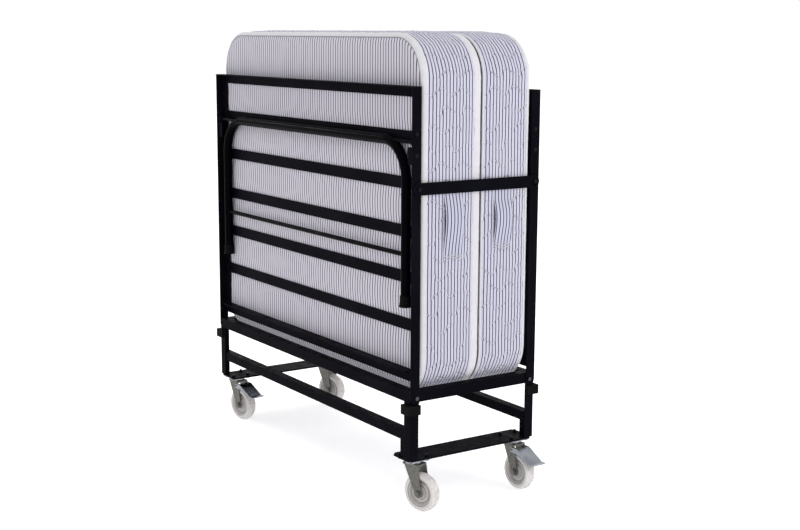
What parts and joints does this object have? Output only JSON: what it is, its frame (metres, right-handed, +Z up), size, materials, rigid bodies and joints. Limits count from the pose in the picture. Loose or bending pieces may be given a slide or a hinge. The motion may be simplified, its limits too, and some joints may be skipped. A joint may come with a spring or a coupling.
{
  "type": "rollaway bed",
  "caption": "Folded rollaway bed: wheeled angle-iron base, hinged slatted panels with folding U legs, striped mattress halves and side restraint bars.",
  "frame": {"origin": "on the floor below the middle of the steel frame (the casters trail to +X, so the bounding box is not centred on it)", "axes": "+X along the width of the bed, to the end seen at the right; +Y from the front panel to the rear panel; +Z up"},
  "size_m": [1.1255, 0.41, 1.187],
  "materials": {
    "black_paint": "satin black paint over angle iron",
    "gloss_black_tube": "glossy black paint on round tube",
    "ticking": "white and blue-grey striped woven ticking, quilted",
    "handle_ticking": "striped ticking strap",
    "nylon": "off-white moulded nylon",
    "zinc_steel": "zinc-plated pressed steel",
    "bright_zinc": "bright zinc-plated sheet steel",
    "bright_bolts": "plated bolt",
    "black_bolts": "blackened bolt and nut",
    "rubber": "black rubber"
  },
  "bodies": {
    "base": {"caster_bolts": "black_bolts", "caster_tops": "bright_zinc", "end_plate_left": "black_paint", "end_plate_right": "black_paint", "end_rail_left": "black_paint", "end_rail_right": "black_paint", "lower_rail_front": "black_paint", "lower_rail_rear": "black_paint", "panel_pivot_bolts": "bright_bolts", "post_feet": "black_paint", "post_fl": "black_paint", "post_fr": "black_paint", "post_rl": "black_paint", "post_rr": "black_paint", "stop_collars": "rubber", "upper_rail_front": "black_paint", "upper_rail_rear": "black_paint"},
    "front_panel": {"front_stile_right": "black_paint", "front_stile_left": "black_paint", "front_top_rail": "black_paint", "front_slats": "black_paint", "front_bottom_rail": "black_paint", "front_leg_brackets": "black_paint", "front_bracket_bolts": "black_bolts", "front_mattress": "ticking", "front_handle": "handle_ticking", "bar_pivot_bolts": "black_bolts"},
    "front_leg": {"front_leg_tube": "gloss_black_tube", "front_leg_rod": "gloss_black_tube", "front_leg_feet": "rubber"},
    "rear_panel": {"rear_stile_right": "black_paint", "rear_stile_left": "black_paint", "rear_top_rail": "black_paint", "rear_slats": "black_paint", "rear_bottom_rail": "black_paint", "rear_leg_brackets": "black_paint", "rear_bracket_bolts": "black_bolts", "rear_mattress": "ticking", "rear_handle": "handle_ticking", "bar_studs": "black_bolts"},
    "rear_leg": {"rear_leg_tube": "gloss_black_tube", "rear_leg_rod": "gloss_black_tube", "rear_leg_feet": "rubber"},
    "bar_right": {"restraint_bar_right": "black_paint"},
    "bar_left": {"restraint_bar_left": "black_paint"},
    "fork_fr": {"caster_fork_fr": "zinc_steel", "caster_axle_fr": "zinc_steel"},
    "wheel_fr": {"caster_wheel_fr": "nylon"},
    "fork_fl": {"caster_fork_fl": "zinc_steel", "caster_axle_fl": "zinc_steel"},
    "wheel_fl": {"caster_wheel_fl": "nylon"},
    "pedal_fl": {"brake_pedal_fl": "bright_zinc"},
    "fork_rr": {"caster_fork_rr": "zinc_steel", "caster_axle_rr": "zinc_steel"},
    "wheel_rr": {"caster_wheel_rr": "nylon"},
    "pedal_rr": {"brake_pedal_rr": "bright_zinc"},
    "fork_rl": {"caster_fork_rl": "zinc_steel", "caster_axle_rl": "zinc_steel"},
    "wheel_rl": {"caster_wheel_rl": "nylon"}
  },
  "joints": [
    {"name": "front_panel_fold", "type": "hinge", "parent": "base", "child": "front_panel", "pos_m": [0, -0.178, 0.298], "axis": [1, 0, 0], "range_deg": [0, 90]},
    {"name": "rear_panel_fold", "type": "hinge", "parent": "base", "child": "rear_panel", "pos_m": [0, 0.178, 0.298], "axis": [-1, 0, 0], "range_deg": [0, 90]},
    {"name": "front_leg_swing", "type": "hinge", "parent": "front_panel", "child": "front_leg", "pos_m": [0, -0.182, 0.928], "axis": [-1, 0, 0], "range_deg": [0, 47]},
    {"name": "rear_leg_swing", "type": "hinge", "parent": "rear_panel", "child": "rear_leg", "pos_m": [0, 0.182, 0.928], "axis": [1, 0, 0], "range_deg": [0, 47]},
    {"name": "bar_right_lift", "type": "hinge", "parent": "front_panel", "child": "bar_right", "pos_m": [0.528, -0.178, 0.816], "axis": [1, 0, 0], "range_deg": [0, 100]},
    {"name": "bar_left_lift", "type": "hinge", "parent": "front_panel", "child": "bar_left", "pos_m": [-0.528, -0.178, 0.816], "axis": [1, 0, 0], "range_deg": [0, 100]},
    {"name": "caster_swivel_fr", "type": "hinge", "parent": "base", "child": "fork_fr", "pos_m": [0.4865, -0.159, 0.118], "axis": [0, 0, 1], "continuous": true},
    {"name": "wheel_spin_fr", "type": "hinge", "parent": "fork_fr", "child": "wheel_fr", "pos_m": [0.51313, -0.15035, 0.05], "axis": [-0.309, 0.9511, 0], "continuous": true},
    {"name": "caster_swivel_fl", "type": "hinge", "parent": "base", "child": "fork_fl", "pos_m": [-0.4865, -0.159, 0.118], "axis": [0, 0, 1], "continuous": true},
    {"name": "wheel_spin_fl", "type": "hinge", "parent": "fork_fl", "child": "wheel_fl", "pos_m": [-0.45893, -0.15414, 0.05], "axis": [-0.1736, 0.9848, 0], "continuous": true},
    {"name": "brake_press_fl", "type": "hinge", "parent": "fork_fl", "child": "pedal_fl", "pos_m": [-0.4668, -0.15553, 0.108], "axis": [-0.1736, 0.9848, 0], "range_deg": [0, 6]},
    {"name": "caster_swivel_rr", "type": "hinge", "parent": "base", "child": "fork_rr", "pos_m": [0.4865, 0.159, 0.118], "axis": [0, 0, 1], "continuous": true},
    {"name": "wheel_spin_rr", "type": "hinge", "parent": "fork_rr", "child": "wheel_rr", "pos_m": [0.51446, 0.16046, 0.05], "axis": [-0.0523, 0.9986, 0], "continuous": true},
    {"name": "brake_press_rr", "type": "hinge", "parent": "fork_rr", "child": "pedal_rr", "pos_m": [0.50647, 0.16005, 0.108], "axis": [-0.0523, 0.9986, 0], "range_deg": [0, 6]},
    {"name": "caster_swivel_rl", "type": "hinge", "parent": "base", "child": "fork_rl", "pos_m": [-0.4865, 0.159, 0.118], "axis": [0, 0, 1], "continuous": true},
    {"name": "wheel_spin_rl", "type": "hinge", "parent": "fork_rl", "child": "wheel_rl", "pos_m": [-0.45959, 0.16672, 0.05], "axis": [-0.2756, 0.9613, 0], "continuous": true}
  ]
}
